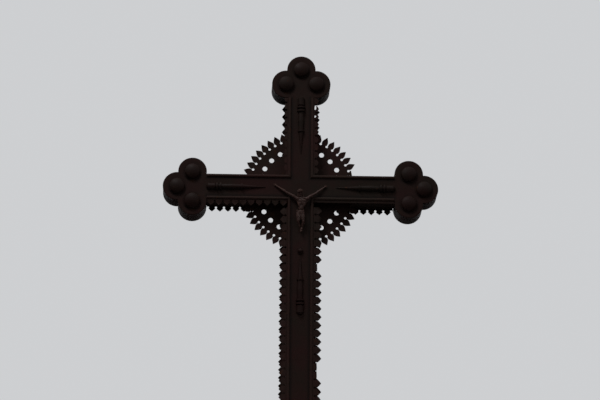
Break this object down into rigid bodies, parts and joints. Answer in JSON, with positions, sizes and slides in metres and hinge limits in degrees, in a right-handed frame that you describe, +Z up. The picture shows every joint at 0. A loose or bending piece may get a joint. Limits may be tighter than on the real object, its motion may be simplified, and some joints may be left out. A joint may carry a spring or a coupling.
{
  "type": "wrought iron cross",
  "caption": "Closed sheet-iron memorial cross with lobed ends, toothed edging, pierced ray fans in the angles and a small cast figure on the front.",
  "frame": {"origin": "middle of the flat foot, where the shaft is cut off at its base", "axes": "+Z up the shaft, +X across the side arms to the viewer's right, front with the figure faces -Y"},
  "size_m": [1, 0.1284, 1.65],
  "materials": {
    "old_paint": "weathered brown-black paint over sheet iron",
    "edging_iron": "thin painted sheet iron with rust at the cut edges",
    "ornament_iron": "painted cast iron, worn on the high places",
    "figure_iron": "grey-brown cast iron, paint mostly worn away"
  },
  "bodies": {
    "root": {"body": "old_paint", "boss_left_left": "ornament_iron", "boss_left_out": "ornament_iron", "boss_left_right": "ornament_iron", "boss_right_left": "ornament_iron", "boss_right_out": "ornament_iron", "boss_right_right": "ornament_iron", "boss_top_left": "ornament_iron", "boss_top_out": "ornament_iron", "boss_top_right": "ornament_iron", "fan_foot_left": "edging_iron", "fan_foot_right": "edging_iron", "fan_top_left": "edging_iron", "fan_top_right": "edging_iron", "figure": "figure_iron", "fringe_back_arm_left": "edging_iron", "fringe_back_arm_right": "edging_iron", "fringe_back_shaft_left": "edging_iron", "fringe_back_shaft_right": "edging_iron", "fringe_back_top_left": "edging_iron", "fringe_back_top_right": "edging_iron", "fringe_front_arm_left": "edging_iron", "fringe_front_arm_right": "edging_iron", "fringe_front_shaft_left": "edging_iron", "fringe_front_shaft_right": "edging_iron", "fringe_front_top_left": "edging_iron", "fringe_front_top_right": "edging_iron", "moulding_arm_left_lower": "old_paint", "moulding_arm_left_upper": "old_paint", "moulding_arm_right_lower": "old_paint", "moulding_arm_right_upper": "old_paint", "moulding_shaft_left": "old_paint", "moulding_shaft_right": "old_paint", "moulding_top_left": "old_paint", "moulding_top_right": "old_paint", "spindle_left": "ornament_iron", "spindle_right": "ornament_iron", "spindle_shaft": "ornament_iron", "spindle_top": "ornament_iron", "stud": "ornament_iron"}
  },
  "joints": []
}
